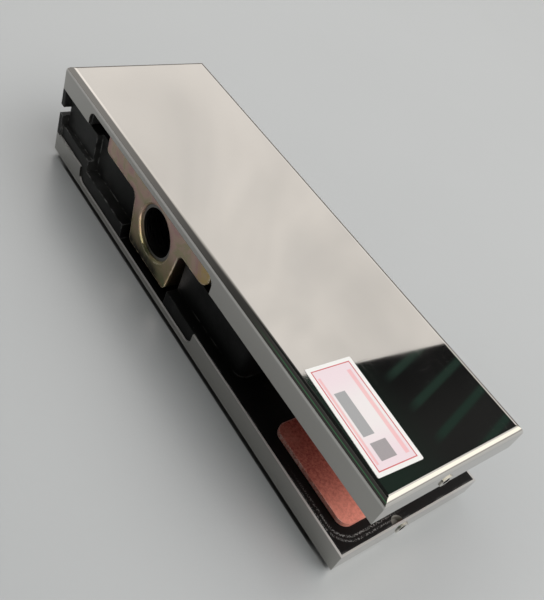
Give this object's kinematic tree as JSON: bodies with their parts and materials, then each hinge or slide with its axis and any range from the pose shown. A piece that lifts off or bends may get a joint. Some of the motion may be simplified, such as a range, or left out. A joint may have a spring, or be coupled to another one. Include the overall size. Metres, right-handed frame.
{
  "type": "glass clamp",
  "caption": "Clamp for the corner of a glass door: covered jaws that screws draw together on gaskets, with a bushed pivot insert in one edge.",
  "frame": {"origin": "middle of the lower cover's outer face, as the clamp lies on a table", "axes": "+X from the pivot end to the glass end, -Y out of the pivot edge, +Z from the lower cover to the upper cover"},
  "size_m": [0.1656, 0.051, 0.034],
  "materials": {
    "polished_steel": "mirror polished",
    "black_casting": "satin black coat on a casting",
    "yellow_steel": "yellow chromate",
    "bush_steel": "satin",
    "red_fibre": "matt pressed fibre",
    "screw_steel": "dark zinc"
  },
  "bodies": {
    "lower_half": {"lower_cover": "polished_steel", "lower_body": "black_casting", "lower_end_gasket": "red_fibre", "lower_edge_gasket": "red_fibre", "lower_pivot_cover_screw": "screw_steel", "lower_glass_cover_screw": "screw_steel"},
    "upper_half": {"upper_cover": "polished_steel", "upper_body": "black_casting", "pivot_insert": "yellow_steel", "pivot_bush": "bush_steel", "upper_end_gasket": "red_fibre", "upper_edge_gasket": "red_fibre", "pivot_side_insert_screw": "screw_steel", "glass_side_insert_screw": "screw_steel", "upper_pivot_cover_screw": "screw_steel", "upper_glass_cover_screw": "screw_steel"},
    "clamp_screw_1": {"clamp_screw_1": "screw_steel"},
    "clamp_screw_2": {"clamp_screw_2": "screw_steel"},
    "clamp_screw_3": {"clamp_screw_3": "screw_steel"}
  },
  "joints": [
    {"name": "jaw_close", "type": "slide", "parent": "lower_half", "child": "upper_half", "axis": [0, 0, 1], "range_m": [-0.0025, 0]},
    {"name": "clamp_screw_1_turn", "type": "hinge", "parent": "lower_half", "child": "clamp_screw_1", "pos_m": [-0.0695, -0.0015, 0], "axis": [0, 0, 1], "range_deg": [0, 720]},
    {"name": "clamp_screw_2_turn", "type": "hinge", "parent": "lower_half", "child": "clamp_screw_2", "pos_m": [-0.0205, 0.002, 0], "axis": [0, 0, 1], "range_deg": [0, 720]},
    {"name": "clamp_screw_3_turn", "type": "hinge", "parent": "lower_half", "child": "clamp_screw_3", "pos_m": [0.019, -0.0015, 0], "axis": [0, 0, 1], "range_deg": [0, 720]}
  ],
  "couplings": [
    {"joint": "clamp_screw_1_turn", "follows": "jaw_close", "rad_per_m": -5026.5},
    {"joint": "clamp_screw_2_turn", "follows": "jaw_close", "rad_per_m": -5026.5},
    {"joint": "clamp_screw_3_turn", "follows": "jaw_close", "rad_per_m": -5026.5}
  ]
}
